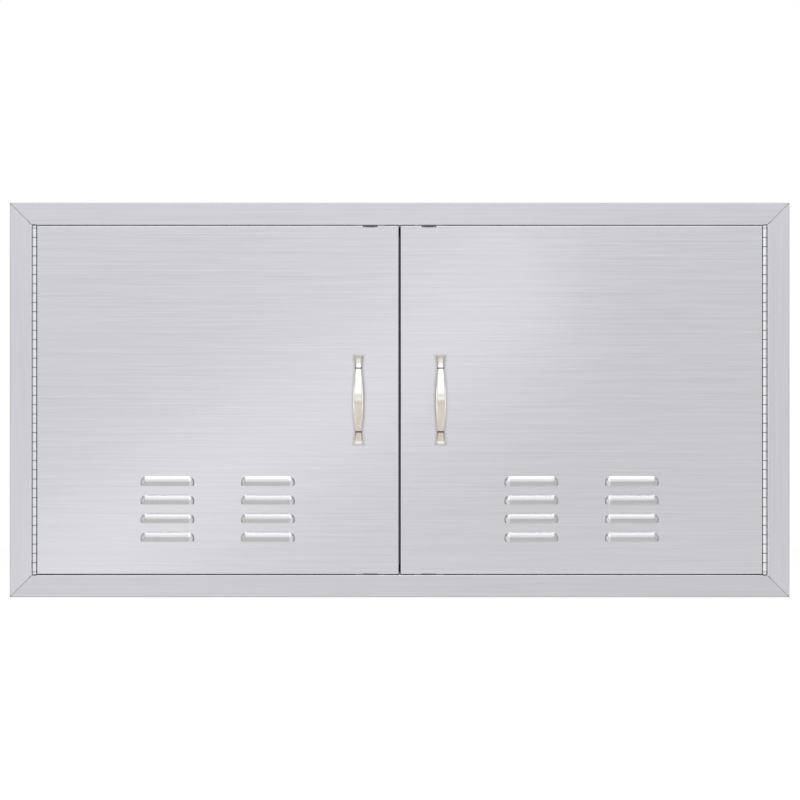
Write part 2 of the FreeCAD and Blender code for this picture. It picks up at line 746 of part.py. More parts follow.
def make_hinge_leaf(owner, side, toward, lowest, count):
    body = new_body(f"hinge_{owner}_leaf_{SIDE_NAMES[side]}")
    axis_x = side * hinge_axis_x
    notch = hinge_axis_y + knuckle_outer + size.knuckle_relief
    blade = rectangle(
        axis_x + toward * knuckle_inner,
        axis_x + toward * knuckle_outer,
        notch,
        hinge_axis_y + size.hinge_leaf_width,
    )
    pad(body, new_sketch(body, "blade", PLAN, [blade], offset=hinge_bottom), hinge_length)
    start = lowest + size.knuckle_gap / 2
    roll = new_sketch(body, "knuckle", PLAN, [knuckle_section(axis_x, toward)], offset=start)
    knuckle = pad(body, roll, size.knuckle_pitch - size.knuckle_gap)
    repeat(body, [knuckle], "Z_Axis", 2 * size.knuckle_pitch, count, "knuckles")
    return body


def lengthen_end_knuckles(body, side):
    """The hinge is cut from a long strip, so its end knuckles run on to the ends of its leaves."""
    section = knuckle_section(side * hinge_axis_x, side)
    reach = first_knuckle + size.knuckle_pitch / 2 - hinge_bottom
    for name, start in (("low_end", hinge_bottom), ("high_end", hinge_bottom + hinge_length - reach)):
        pad(body, new_sketch(body, name, PLAN, [section], offset=start), reach)


def make_hinge_pin(side):
    body = new_body(f"hinge_pin_{SIDE_NAMES[side]}")
    circle = (side * hinge_axis_x, hinge_axis_y, size.hinge_pin_radius)
    pad(body, new_sketch(body, "section", PLAN, circles=[circle], offset=hinge_bottom), hinge_length)


for side in (LEFT, RIGHT):
    frame_leaf = make_hinge_leaf("frame", side, side, first_knuckle, frame_knuckles)
    lengthen_end_knuckles(frame_leaf, side)
    make_hinge_leaf("door", side, -side, first_knuckle + size.knuckle_pitch, door_knuckles)
    make_hinge_pin(side)


# The pulls. A pull is a cast bow with two flared feet. It is shaped by two outlines, one from the
# side and one from the front, and its edges are bevelled twice, which leaves them nearly round.


def double_curve(run, climb):
    """The sum of the two radii of a level-to-level double curve over a run and a climb."""
    return (run * run + climb * climb) / (2 * climb)


def make_handle(side):
    body = new_body(f"handle_{SIDE_NAMES[side]}")
    outline = new_sketch(body, "bow", SIDE, [bow_outline()], offset=side * handle_x)
    blank_width = size.handle_foot_width + size.handle_crown_width
    pad(body, outline, blank_width, centred=True)
    x = side * handle_x
    around = rectangle(
        x - blank_width, x + blank_width, handle_z - size.handle_length, handle_z + size.handle_length
    )
    waist = new_sketch(body, "waist", FRONT, [around, waist_outline(x)], offset=-door_front)
    cut_through(body, waist, size.handle_rise)
    bevel_edges(body, "bevel", size.handle_bevel, with_ends=False)
    bevel_edges(body, "softening", size.handle_softening, with_ends=True)
    neck_y = door_front - neck_height()
    rings = [(neck_y, handle_z + end * handle_neck, size.handle_groove_radius) for end in (BOTTOM, TOP)]
    grooves = new_sketch(body, "grooves", SIDE, circles=rings, offset=side * handle_x)
    cut_through(body, grooves, size.handle_crown_width)
    radius = size.handle_screw_radius + size.tapped_clearance
    circles = [(x, z, radius) for x, z in handle_screw_places(side)]
    holes = new_sketch(body, "screw_holes", FRONT, circles=circles, offset=-door_front)
    pocket(body, holes, size.handle_screw_bite + size.passing_clearance, along_normal=True)


def neck_height():
    """How far the front of a neck stands off the door."""
    climb = size.handle_rise - size.handle_foot_rise
    return size.handle_rise - 2 * climb * handle_neck / size.handle_length


def bow_outline():
    """The pull from the side. The front sweeps from foot to crown in a double curve, turning at the neck."""
    half = size.handle_length / 2
    radii = double_curve(half, size.handle_rise - size.handle_foot_rise)
    crown_radius = radii * handle_neck / half
    foot_radius = radii - crown_radius
    inside = half - size.handle_foot_length
    hollow = size.handle_rise - size.handle_bar
    inside_radius = (inside * inside + hollow * hollow) / (2 * hollow)
    foot_y = door_front - size.handle_foot_rise
    neck_y = door_front - neck_height()
    return [
        (door_front, handle_z + half, None),
        (foot_y, handle_z + half, (foot_radius, -1, False)),
        (neck_y, handle_z + handle_neck, (crown_radius, 1, False)),
        (neck_y, handle_z - handle_neck, (foot_radius, -1, False)),
        (foot_y, handle_z - half, None),
        (door_front, handle_z - half, None),
        (door_front, handle_z - inside, (inside_radius, -1, False)),
        (door_front, handle_z + inside, None),
    ]


def waist_outline(x):
    """The pull from the front: a full arc at the crown, and one hollow arc through each neck and foot."""
    half = size.handle_length / 2
    crown_half = size.handle_crown_width / 2
    neck_half = size.handle_neck_width / 2
    foot_half = size.handle_foot_width / 2
    flare_run = half - handle_neck
    flare_rise = foot_half - neck_half
    flare = (flare_run * flare_run + flare_rise * flare_rise) / (2 * flare_rise)
    fullness = crown_half - neck_half
    radii = double_curve(handle_neck, fullness)
    swell = radii - flare
    turn_half = crown_half - fullness * swell / radii
    turn_z = handle_neck * swell / radii
    right_side = [
        (foot_half, -half, (flare, -1, False)),
        (turn_half, -turn_z, (swell, 1, False)),
        (turn_half, turn_z, (flare, -1, False)),
        (foot_half, half, None),
    ]
    path = [(x + across, handle_z + along, arc) for across, along, arc in right_side]
    path += [(x - across, handle_z - along, arc) for across, along, arc in right_side]
    return path


def bevel_edges(body, name, width, with_ends):
    """Bevel a pull's long edges, and the ends of its feet if asked, but nothing that lies on the door."""
    document.recompute()
    shaped = body.Tip
    names = []
    for number, edge in enumerate(shaped.Shape.Edges, start=1):
        box = edge.BoundBox
        on_door = box.YMin > door_front.value - 1e-4
        square_to_door = box.XLength < 1e-4 and box.ZLength < 1e-4
        end_of_foot = box.YLength < 1e-4 and box.ZLength < 1e-4
        if not (on_door or square_to_door) and (with_ends or not end_of_foot):
            names.append(f"Edge{number}")
    bevel = body.newObject("PartDesign::Chamfer", f"{body.Label}_{name}")
    bevel.Base = (shaped, names)
    bevel.setExpression("Size", width.formula)


for side in (LEFT, RIGHT):
    make_handle(side)


# Behind each pull stands a channel, its web flat against the skin, through which the screws pass.


def make_handle_stiffener(side):
    body = new_body(f"handle_stiffener_{SIDE_NAMES[side]}")
    sheet = size.stiffener_sheet
    inner = size.stiffener_bend - sheet
    left = side * handle_x - size.stiffener_width / 2
    right = side * handle_x + size.stiffener_width / 2
    front = door_skin_back
    back = front + size.stiffener_depth
    section = folded(
        (left, front, size.stiffener_bend),
        (right, front, size.stiffener_bend),
        (right, back, None),
        (right - sheet, back, None),
        (right - sheet, front + sheet, inner),
        (left + sheet, front + sheet, inner),
        (left + sheet, back, None),
        (left, back, None),
    )
    start = door_bottom + size.stiffener_end_gap
    sketch = new_sketch(body, "section", PLAN, [section], offset=start)
    pad(body, sketch, door_top - size.stiffener_end_gap - start)
    radius = size.handle_screw_radius + size.passing_clearance
    circles = [(x, z, radius) for x, z in handle_screw_places(side)]
    cut_through(body, new_sketch(body, "screw_holes", FRONT, circles=circles, offset=-front), sheet)


def screw_profile(place, radius, head_radius, head_height, length):
    """Half of a screw, with place(out, along) turning a radius and a depth under the head into a point."""
    rim = head_height / 3
    return polygon(
        place(0, -head_height),
        place(head_radius - rim, -head_height),
        place(head_radius, rim - head_height),
        place(head_radius, 0),
        place(radius, 0),
        place(radius, length),
        place(0, length),
    )


def make_handle_screws(side):
    body = new_body(f"handle_screws_{SIDE_NAMES[side]}")
    x, low_z = handle_screw_places(side)[0]
    seat_y = door_skin_back + size.stiffener_sheet
    length = seat_y - door_front + size.handle_screw_bite

    def place(out, along):
        return x + out, seat_y - along

    profile = screw_profile(
        place, size.handle_screw_radius, size.handle_screw_head_radius, size.handle_screw_head_height, length
    )
    sketch = new_sketch(body, "profile", PLAN, [profile], offset=low_z)
    axis = add_axis(sketch, (x, seat_y), (x, seat_y - length))
    screw = turned("Revolution", body, sketch, axis, 360, False)
    repeat(body, [screw], "Z_Axis", 2 * handle_screw, 2, "pair")


for side in (LEFT, RIGHT):
    make_handle_stiffener(side)
    make_handle_screws(side)


# The magnetic catches. Each hangs from the top jamb, or stands on the bottom one, in the gap cut in
# the door's folded edge. Its magnet lies between two pole plates, which face a strike plate on the
# inside of the door's skin.


def catch_place(level, side):
    """Where a catch meets its jamb, its label, and a function that counts height from the jamb."""
    jamb_z = opening_top if level == TOP else opening_bottom
    label = f"{LEVEL_NAMES[level]}_{SIDE_NAMES[side]}"

    def block(half_width, nearest, farthest, centre_x=side * catch_x):
        return rectangle(
            centre_x - half_width, centre_x + half_width, jamb_z - level * nearest, jamb_z - level * farthest
        )

    return label, jamb_z, block


def cavity_half_width():
    return size.catch_width / 2 - size.catch_wall


def make_catch_housing(level, side):
    label, jamb_z, block = catch_place(level, side)
    body = new_body(f"catch_housing_{label}")
    for name, outline, depth in (
        ("shell", block(size.catch_width / 2, 0, size.catch_height), size.catch_depth),
        ("ears", block(size.catch_ear_span / 2, 0, size.catch_ear_sheet), size.catch_ear_length),
    ):
        pad(body, new_sketch(body, name, FRONT, [outline], offset=-catch_front), depth, against_normal=True)
    space = block(cavity_half_width(), size.catch_ear_sheet, size.catch_height - size.catch_wall)
    cavity = new_sketch(body, "cavity", FRONT, [space], offset=-catch_front)
    pocket(body, cavity, size.magnet_length + size.catch_play)
    holes = new_sketch(body, "screw_holes", PLAN, circles=catch_screw_holes(side), offset=jamb_z)
    cut_through(body, holes, size.catch_ear_sheet)


def make_catch_magnet(level, side):
    label, jamb_z, block = catch_place(level, side)
    body = new_body(f"catch_magnet_{label}")
    half_width = cavity_half_width() - size.catch_play - size.pole_sheet
    nearest = size.catch_ear_sheet + size.catch_play
    farthest = size.catch_height - size.catch_wall - size.catch_play
    sketch = new_sketch(body, "block", FRONT, [block(half_width, nearest, farthest)], offset=-catch_front)
    pad(body, sketch, size.magnet_length, against_normal=True)


def make_catch_poles(level, side):
    label, jamb_z, block = catch_place(level, side)
    body = new_body(f"catch_poles_{label}")
    nearest = size.catch_ear_sheet + size.catch_play
    farthest = size.catch_height - size.catch_wall - size.catch_play
    offset = cavity_half_width() - size.catch_play - size.pole_sheet / 2
    plates = [
        block(size.pole_sheet / 2, nearest, farthest, side * catch_x + end * offset) for end in (LEFT, RIGHT)
    ]
    sketch = new_sketch(body, "plates", FRONT, plates, offset=-pole_front)
    pad(body, sketch, size.pole_stand_out + size.magnet_length, against_normal=True)


def make_catch_screws(level, side):
    label, jamb_z, block = catch_place(level, side)
    body = new_body(f"catch_screws_{label}")
    x = side * catch_x - catch_screw_offset
    seat_z = jamb_z - level * size.catch_ear_sheet

    def place(out, along):
        return x + out, seat_z + level * along

    profile = screw_profile(
        place,
        size.catch_screw_radius,
        size.catch_screw_head_radius,
        size.catch_screw_head_height,
        size.catch_screw_length,
    )
    sketch = new_sketch(body, "profile", FRONT, [profile], offset=-catch_screw_y)
    axis = add_axis(sketch, (x, seat_z), (x, seat_z + level * size.catch_screw_length))
    screw = turned("Revolution", body, sketch, axis, 360, False)
    repeat(body, [screw], "X_Axis", 2 * catch_screw_offset, 2, "pair")


def make_strike_plate(level, side):
    """The plate starts just past the notch, so that it isn't seen from outside."""
    label, jamb_z, block = catch_place(level, side)
    body = new_body(f"strike_plate_{label}")
    notch = size.notch_depth_top if level == TOP else size.notch_depth_bottom
    edge_gap = size.door_top_gap if level == TOP else size.door_bottom_gap
    nearest = edge_gap + notch + size.strike_margin
    outline = block(size.catch_width / 2, nearest, nearest + size.strike_height)
    sketch = new_sketch(body, "outline", FRONT, [outline], offset=-door_skin_back)
    pad(body, sketch, size.strike_sheet, against_normal=True)


for level in (BOTTOM, TOP):
    for side in (LEFT, RIGHT):
        make_catch_housing(level, side)
        make_catch_magnet(level, side)
        make_catch_poles(level, side)
        make_catch_screws(level, side)
        make_strike_plate(level, side)


# Check every object, then write each piece to its own file.


def check(document):
    """Stop on a failed feature, on a cut that removes nothing and on a piece that isn't sound."""
    for item in document.Objects:
        if "Invalid" in item.State or "Error" in item.State:
            raise RuntimeError(f"{item.Name} failed: {item.State}")
        if item.TypeId == "PartDesign::Pocket":
            removed = item.BaseFeature.Shape.Volume - item.Shape.Volume
            if removed < 0.01:
                raise RuntimeError(f"{item.Name} cuts nothing")
    for body in document.findObjects("PartDesign::Body"):
        if body.Shape.isNull() or not body.Shape.isValid():
            raise RuntimeError(f"{body.Label} has no sound shape")


document.recompute()
check(document)
os.makedirs("parts", exist_ok=True)
for body in document.findObjects("PartDesign::Body"):
    body.Shape.exportStep(f"parts/{body.Label}.step")
    print(f"{body.Label}: {len(body.Shape.Solids)} solid, {body.Shape.Volume:.0f} cubic mm")
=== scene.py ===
# %% [markdown]
# A double access door for an outdoor kitchen, in brushed stainless steel. Its parts come in as
# solids that already have their real size and place, in metres: X runs to the right, Y away from
# the viewer, Z up, and the origin is in the middle of the front edge of the sill that the door
# stands on. This lesson gives them their finishes, adds the small things that a sheet metal shop
# leaves behind, and lights the door as a studio would.

import math

import bmesh
import bpy
from mathutils import Matrix, Vector


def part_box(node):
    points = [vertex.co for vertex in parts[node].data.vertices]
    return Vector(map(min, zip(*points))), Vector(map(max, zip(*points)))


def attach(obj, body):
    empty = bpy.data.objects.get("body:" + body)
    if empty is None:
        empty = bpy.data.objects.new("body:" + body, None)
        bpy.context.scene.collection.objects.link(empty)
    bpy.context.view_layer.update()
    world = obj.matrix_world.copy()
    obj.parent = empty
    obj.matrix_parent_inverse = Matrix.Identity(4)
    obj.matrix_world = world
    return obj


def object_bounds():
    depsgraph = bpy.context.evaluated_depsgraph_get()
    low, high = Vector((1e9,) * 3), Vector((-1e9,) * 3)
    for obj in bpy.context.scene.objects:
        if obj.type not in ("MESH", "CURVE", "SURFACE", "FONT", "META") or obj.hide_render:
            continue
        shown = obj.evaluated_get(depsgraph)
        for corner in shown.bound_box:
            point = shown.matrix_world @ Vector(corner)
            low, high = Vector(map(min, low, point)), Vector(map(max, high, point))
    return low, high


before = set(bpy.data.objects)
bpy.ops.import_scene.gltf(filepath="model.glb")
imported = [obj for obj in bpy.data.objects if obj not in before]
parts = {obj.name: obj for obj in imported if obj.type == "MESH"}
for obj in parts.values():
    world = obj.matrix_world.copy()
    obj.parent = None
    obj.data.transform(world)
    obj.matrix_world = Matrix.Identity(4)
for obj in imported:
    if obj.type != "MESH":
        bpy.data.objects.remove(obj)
solid_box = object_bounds()
scene = bpy.context.scene
print(len(parts), "solids between", [tuple(round(c, 4) for c in corner) for corner in solid_box])

# %% [markdown]
# Colours are written as they look on a screen and turned into the linear values that the shaders
# mix. The view transform is Standard, so that a colour renders about as it is written. Sizes are
# written in millimetres, as on a workshop drawing.

# %% Colours and sizes
scene.view_settings.view_transform = "Standard"
millimetre = 0.001


def linear(level):
    """A screen level from 0 to 255 as the amount of light it stands for."""
    share = level / 255
    return share / 12.92 if share <= 0.04045 else ((share + 0.055) / 1.055) ** 2.4


def screen_colour(red, green, blue):
    return (linear(red), linear(green), linear(blue), 1.0)


def evenly(amount):
    """The same amount for red, green and blue."""
    return (amount, amount, amount)


print("a screen grey of 204 is", round(linear(204), 3), "of the light")

# %% [markdown]
# A finish is a small network of nodes. Written out node by node it is hard to read, so one class
# wraps a socket and gives it the usual operators: a sum of two wires adds a Math node and hands
# back its output.

# %% Wires


class Wire:
    """The output of a node, used like a number in a formula."""

    def __init__(self, finish, socket):
        self.finish = finish
        self.socket = socket

    def math(self, operation, *values):
        settings = {"operation": operation}
        return self.finish.node("ShaderNodeMath", settings, dict(enumerate(values)))

    def __add__(self, other):
        return self.math("ADD", self, other)

    __radd__ = __add__

    def __sub__(self, other):
        return self.math("SUBTRACT", self, other)

    def __rsub__(self, other):
        return self.math("SUBTRACT", other, self)

    def __neg__(self):
        return 0.0 - self

    def __mul__(self, other):
        return self.math("MULTIPLY", self, other)

    __rmul__ = __mul__

    def __truediv__(self, other):
        return self.math("DIVIDE", self, other)

    def __rtruediv__(self, other):
        return self.math("DIVIDE", other, self)

    def __abs__(self):
        return self.math("ABSOLUTE", self)

    def larger(self, other):
        """The larger of two values."""
        return self.math("MAXIMUM", self, other)

    def within(self, low, high):
        """How far the value is on its way from low to high, eased at both ends."""
        settings = {"interpolation_type": "SMOOTHSTEP"}
        inputs = {"Value": self, "From Min": low, "From Max": high}
        return self.finish.node("ShaderNodeMapRange", settings, inputs)


print("a wire is made:", Wire.__doc__)

# %% [markdown]
# Every node comes from one method. It takes the node's type, its settings, which are set first,
# and what goes into its sockets: a number, a colour or a wire. The other methods are short names
# for what comes back often: the place of a point on the piece, which way the surface faces there,
# noise, two colours mixed, a bump, and the shader at the end.

# %% Finishes
# A Mix node has sockets of one name for numbers, vectors and colours. These are for colours.
first_colour, second_colour, mixed_colour = 6, 7, 2


class Finish:
    """The nodes that make a material, or the light of the room."""

    def __init__(self, name, kind="materials"):
        self.owner = getattr(bpy.data, kind).new(name)
        self.owner.use_nodes = True
        self.tree = self.owner.node_tree
        self.tree.nodes.clear()

    def node(self, kind, settings=None, inputs=None, output=0):
        made = self.tree.nodes.new(kind)
        for setting, value in (settings or {}).items():
            setattr(made, setting, value)
        for socket, value in (inputs or {}).items():
            if isinstance(value, Wire):
                self.tree.links.new(value.socket, made.inputs[socket])
            else:
                made.inputs[socket].default_value = value
        return Wire(self, made.outputs[output]) if made.outputs else None

    def vector(self, x, y, z):
        return self.node("ShaderNodeCombineXYZ", inputs={"X": x, "Y": y, "Z": z})

    def split(self, vector):
        inputs = {"Vector": vector}
        return [self.node("ShaderNodeSeparateXYZ", inputs=inputs, output=axis) for axis in "XYZ"]

    def place(self):
        """The point on the piece, as three wires in metres that move with it."""
        return self.split(self.node("ShaderNodeTexCoord", output="Object"))

    def facing(self):
        """How squarely the surface faces right, back and up, as three wires from -1 to 1."""
        return self.split(self.node("ShaderNodeTexCoord", output="Normal"))

    def noise(self, point, scale=1.0, detail=2.0, roughness=0.5):
        inputs = {"Vector": point, "Scale": scale, "Detail": detail, "Roughness": roughness}
        return self.node("ShaderNodeTexNoise", inputs=inputs, output="Fac")

    def blend(self, share, first, second, how="MIX"):
        """A colour that goes from the first to the second as the share goes from 0 to 1."""
        settings = {"data_type": "RGBA", "blend_type": how}
        inputs = {"Factor": share, first_colour: first, second_colour: second}
        return self.node("ShaderNodeMix", settings, inputs, output=mixed_colour)

    def scaled(self, colour, amounts):
        """A colour wire with its three channels made stronger or weaker."""
        return self.blend(1.0, colour, [*amounts, 1.0], how="MULTIPLY")

    def bump(self, height, depth):
        """A normal tilted by a height that runs from 0 to 1 and is depth metres tall."""
        inputs = {"Height": height, "Distance": depth, "Strength": 1.0}
        return self.node("ShaderNodeBump", inputs=inputs, output="Normal")

    def surface(self, colour, roughness, normal, **constants):
        inputs = {"Base Color": colour, "Roughness": roughness, "Normal": normal}
        for name, value in constants.items():
            inputs[name.replace("_", " ")] = value
        shader = self.node("ShaderNodeBsdfPrincipled", inputs=inputs)
        self.node("ShaderNodeOutputMaterial", inputs={"Surface": shader})
        return self.owner


print("a finish is made:", Finish.__doc__)

# %% [markdown]
# Most pieces come in pairs or in fours, and their names say where they are. A finish is given to
# all pieces of a kind at once.

# %% Coats
sides = ("left", "right")
corners = [f"{end}_{side}" for end in ("bottom", "top") for side in sides]


def coat(finish, kinds, places):
    """Give one finish to every solid of these kinds at these places."""
    names = [f"{kind}_{place}" for kind in kinds for place in places]
    for name in names:
        slots = parts[name].data.materials
        slots.clear()
        slots.append(finish)
    print(finish.name, "on", len(names), "solids")


print("the corners are", ", ".join(corners))

# %% [markdown]
# Brushed stainless steel gets its look from a belt that is dragged along the sheet. It leaves
# scratches finer than a hair, and among them longer streaks that the eye picks out from a few
# metres away. A picture of a sheet would repeat itself and break at the folds, so noise makes the
# streaks. They go round each fold with the sheet: the pattern is laid out on the unfolded sheet,
# where one coordinate runs along the grain and changes slowly, and the other runs across it and
# changes fast. Three sizes of streak are added up.

# %% Grain of brushed steel
# For each size of streak: changes in a metre along the grain and across it, and its weight.
streaks = {
    "hairline": (22.0, 3600.0, 0.35),
    "streak": (9.0, 1100.0, 0.4),
    "long streak": (2.5, 640.0, 0.25),
}
slice_of_noise = 0.37


def unfolded(finish, upright):
    """Distances along and across the grain, on the sheet as it was before it was folded."""
    x, y, z = finish.place()
    sideways, _, upwards = finish.facing()
    if upright:
        return z + y * abs(upwards), x + y * (1 - abs(upwards))
    return x + y * abs(sideways), z + y * (1 - abs(sideways))


def grain(finish, upright):
    """The streaks of all sizes added up, from 0 to 1."""
    along, across = unfolded(finish, upright)
    marks = 0.0
    for along_scale, across_scale, weight in streaks.values():
        stretched = finish.vector(along * along_scale, across * across_scale, slice_of_noise)
        marks = marks + finish.noise(stretched, detail=1.0) * weight
    return marks


print("the grain adds", " and ".join(streaks))

# %% [markdown]
# The streaks tint the metal, roughen it and tilt its surface a little. The scratches also spread
# a highlight across the grain, which is what the anisotropy of the shader is for: turned by a
# quarter it suits a level grain. The finish also takes a list of seams and of light and shade
# that
# are painted into its colour: where each is, what share of the metal's colour it keeps, and how
# much roughness it adds.

# %% Brushed steel
steel_tint = screen_colour(189, 189, 192.5)
grain_contrast = (0.2, 0.8)
grain_depth = 0.085
grain_roughness = 0.14
cloud_roughness = 0.04
clouds_in_a_metre = 2.3
middle_of_noise = 0.5
scratch_depth = 0.0038 * millimetre
belt_spread = 0.5
level_turn = 0.25
upright_turn = 0.0


def shaded(colour, amount):
    """The colour made lighter or darker by a factor."""
    return [channel * amount for channel in colour[:3]] + [1.0]


def brushed_steel(name, tint, roughness, seams_and_painted_shading, upright=False):
    finish = Finish(name)
    marks = grain(finish, upright)
    cloud = finish.noise(finish.vector(*finish.place()), scale=clouds_in_a_metre, detail=1.0)
    dark, light = shaded(tint, 1 - grain_depth), shaded(tint, 1 + grain_depth)
    colour = finish.blend(marks.within(*grain_contrast), dark, light)
    rough = roughness + (marks - middle_of_noise) * grain_roughness
    rough = rough + (cloud - middle_of_noise) * cloud_roughness
    # Seams, and light and shade painted into the colour, each over its own mask.
    for share, kept, extra_roughness in seams_and_painted_shading(finish):
        colour = finish.blend(share, colour, finish.scaled(colour, kept))
        rough = rough + share * extra_roughness
    return finish.surface(
        colour,
        rough,
        finish.bump(marks, scratch_depth),
        Metallic=1.0,
        Anisotropic=belt_spread,
        Anisotropic_Rotation=upright_turn if upright else level_turn,
    )


print("the scratches are", round(scratch_depth / millimetre, 4), "mm deep")

# %% [markdown]
# The face frame is four folded members that are brushed along their length. Light and shade are
# painted on their folds: the outer folds of the frame are painted darker as shade and made
# duller, the folds round the opening are painted lighter as a highlight, and the jambs and
# returns behind them are painted brighter, as light in the gaps. The masks come from how far the
# surface has turned away from the front, and from whether it is past the sides of the opening.
# Two members meet at 45 degrees, where both distances past the opening are equal. That fine line
# is drawn dark, and darkest over its last few millimetres at the opening.

# %% Face frame
opening_half_width = 0.5029
opening_middle = 0.240375
opening_half_height = 0.239375
starts_to_turn = (0.1, 0.4)
turned_square = (0.9, 0.98)
outside_inner_folds = (4 * millimetre, 6 * millimetre)
seam_edge = (0.35 * millimetre, 1.0 * millimetre)
seam_end_edge = (4 * millimetre, 5.5 * millimetre)


def past_opening(finish):
    """How far a point is past the sides of the opening, and past its top or bottom, in metres."""
    x, _, z = finish.place()
    return abs(x) - opening_half_width, abs(z - opening_middle) - opening_half_height


def fold_masks(finish):
    """1 on the outer folds, on the folds round the opening, and on the jambs and returns."""
    past_side, past_end = past_opening(finish)
    sideways, _, upwards = finish.facing()
    turned = abs(sideways).larger(abs(upwards))
    bent = turned.within(*starts_to_turn)
    outer = past_side.within(*outside_inner_folds).larger(past_end.within(*outside_inner_folds))
    returns = turned.within(*turned_square) * (1 - outer)
    return bent * outer, bent * (1 - outer) * (1 - returns), returns


def seam_masks(finish):
    """1 on the line between two members, and 1 on the end of that line at the opening."""
    past_side, past_end = past_opening(finish)
    seam = 1 - abs(past_side - past_end).within(*seam_edge)
    return seam, seam * (1 - past_side.within(*seam_end_edge))


def member_painted_light_and_seams(painted_fold_light_at_opening, roughness_at_opening):
    """Seams and painted light on a member, with the fold highlight and roughness at the opening.
    """

    def seams_and_painted_shading(finish):
        outer, inner, returns = fold_masks(finish)
        seam, seam_end = seam_masks(finish)
        return [
            (seam, evenly(0.6), 0.1),
            (seam_end, evenly(0.4), 0.1),
            # Painted shade on the outer folds, a painted highlight round the opening, painted
            # light on the jambs.
            (outer, (0.76, 0.76, 0.77), 0.15),
            (inner, evenly(painted_fold_light_at_opening), roughness_at_opening),
            (returns, evenly(1.5), 0.0),
        ]

    return seams_and_painted_shading


# The head and sill are painted a shade darker than the side members, as shade against the extra
# overhead light they catch.
level_steel = brushed_steel(
    "brushed_steel_of_head_and_sill",
    tint=screen_colour(182, 182, 185.5),
    roughness=0.30,
    seams_and_painted_shading=member_painted_light_and_seams(1.15, 0.05),
)
upright_steel = brushed_steel(
    "brushed_steel_of_side_members",
    tint=steel_tint,
    roughness=0.30,
    seams_and_painted_shading=member_painted_light_and_seams(1.9, 0.25),
    upright=True,
)
coat(level_steel, ["frame"], ["top", "bottom"])
coat(upright_steel, ["frame"], sides)

# %% [markdown]
# A louvre is a hood pressed out of the door's skin and open below. Its light and shade are
# painted into its colour, by which way the metal faces. The brow is painted bright as the
# highlight of the overhead lamp and made matt, the bend under the brow is painted a little darker
# as shade, and the lower band, which looks down at the floor, is painted tan as its reflection.
# The ends are
# parts of a ball: the one that faces the middle of the door frame is painted with a dark rim of
# shade and a painted glint inside it, and the other is left almost plain and a little rougher.

# %% Louvres
door_front = -0.00635
stands_out = (0.1 * millimetre, 0.6 * millimetre)
brow_looks_up = (0.6, 0.78)
bend_looks_up = (0.15, 0.3)
band_looks_up = (0.05, 0.4)
rim_is_steep = (0.38, 0.66)
rim_looks_inwards = (0.2, 0.4)
glint_is_steep = (0.22, 0.42)
glint_looks_inwards = (0.1, 0.3)
outer_end_looks_out = (0.2, 0.7)


def louvre_painted_light(finish):
    x, y, _ = finish.place()
    sideways, _, upwards = finish.facing()
    inwards = -(sideways * x.math("SIGN", x))
    steepness = inwards * inwards + upwards * upwards
    hood = (door_front - y).within(*stands_out)
    rim = hood * steepness.within(*rim_is_steep) * inwards.within(*rim_looks_inwards)
    glint = hood * inwards.within(*glint_looks_inwards) * (1 - steepness.within(*glint_is_steep))
    brow = hood * upwards.within(*brow_looks_up) * (1 - rim)
    bend = hood * upwards.within(*bend_looks_up) * (1 - brow)
    band = hood * (1 - upwards.within(*band_looks_up))
    outer_end = hood * (-inwards).within(*outer_end_looks_out)
    # Painted highlights, shade and floor reflection on the brow, bend, band, rim, glint and ends.
    return [
        (brow, evenly(1.7), 0.25),
        (bend, evenly(0.88), 0.05),
        (band, (0.77, 0.75, 0.72), 0.05),
        (rim, (0.55, 0.54, 0.53), 0.0),
        (glint, evenly(1.35), 0.0),
        (outer_end, (1.02, 1.01, 0.99), 0.15),
    ]


print("a louvre is shaded where the skin stands", stands_out[0] / millimetre, "mm out or more")

# %% [markdown]
# The skin beside a pull is painted darker over a few millimetres, as the pull's shadow and its
# reflection in the skin. The outline of that painted shadow follows the pull: it bulges between
# the grooves like a flat arch, and it flares towards the two feet. The door's edges are folded
# like the members': the top fold is painted darker as shade, and the returns are painted
# brighter, as light in the gaps.

# %% Doors
groove_from_middle = 43.5 * millimetre
pull_from_middle = 56.1 * millimetre
half_pull = 60.25 * millimetre
half_neck = 4.8 * millimetre
bulge_of_arch = 2.3 * millimetre
flare_of_foot = 0.096
edge_of_patch = (-0.5 * millimetre, 4.2 * millimetre)
beyond_louvres = (200 * millimetre, 210 * millimetre)
upper_edge = (400 * millimetre, 410 * millimetre)


def beside_pulls(finish):
    """1 on the skin where a pull stands and 0 from a few millimetres beside it."""
    x, _, z = finish.place()
    height = abs(z - opening_middle)
    share = height / groove_from_middle
    arch = (1 - share * share).larger(0.0) * bulge_of_arch
    foot = (height - groove_from_middle).larger(0.0) * flare_of_foot
    off_side = abs(abs(x) - pull_from_middle) - (arch + foot + half_neck)
    off_end = height - half_pull
    return 1 - off_side.larger(off_end).within(*edge_of_patch)


def door_painted_light(finish):
    _, _, z = finish.place()
    _, _, upwards = finish.facing()
    off_louvres = abs(z - opening_middle).within(*beyond_louvres)
    level_return = abs(upwards).within(*turned_square) * off_louvres
    top_fold = upwards.within(*starts_to_turn) * z.within(*upper_edge) * (1 - level_return)
    return louvre_painted_light(finish) + [
        # Painted shadow and reflection of the pull on the skin beside it.
        (beside_pulls(finish), (0.74, 0.74, 0.75), 0.0),
        # Painted shade on the top fold and painted light on the top and bottom returns.
        (top_fold, (0.85, 0.85, 0.86), 0.15),
        (level_return, evenly(1.5), 0.0),
    ]


door_steel = brushed_steel(
    "brushed_steel_of_doors",
    tint=steel_tint,
    roughness=0.20,
    seams_and_painted_shading=door_painted_light,
)
coat(door_steel, ["door_panel"], sides)

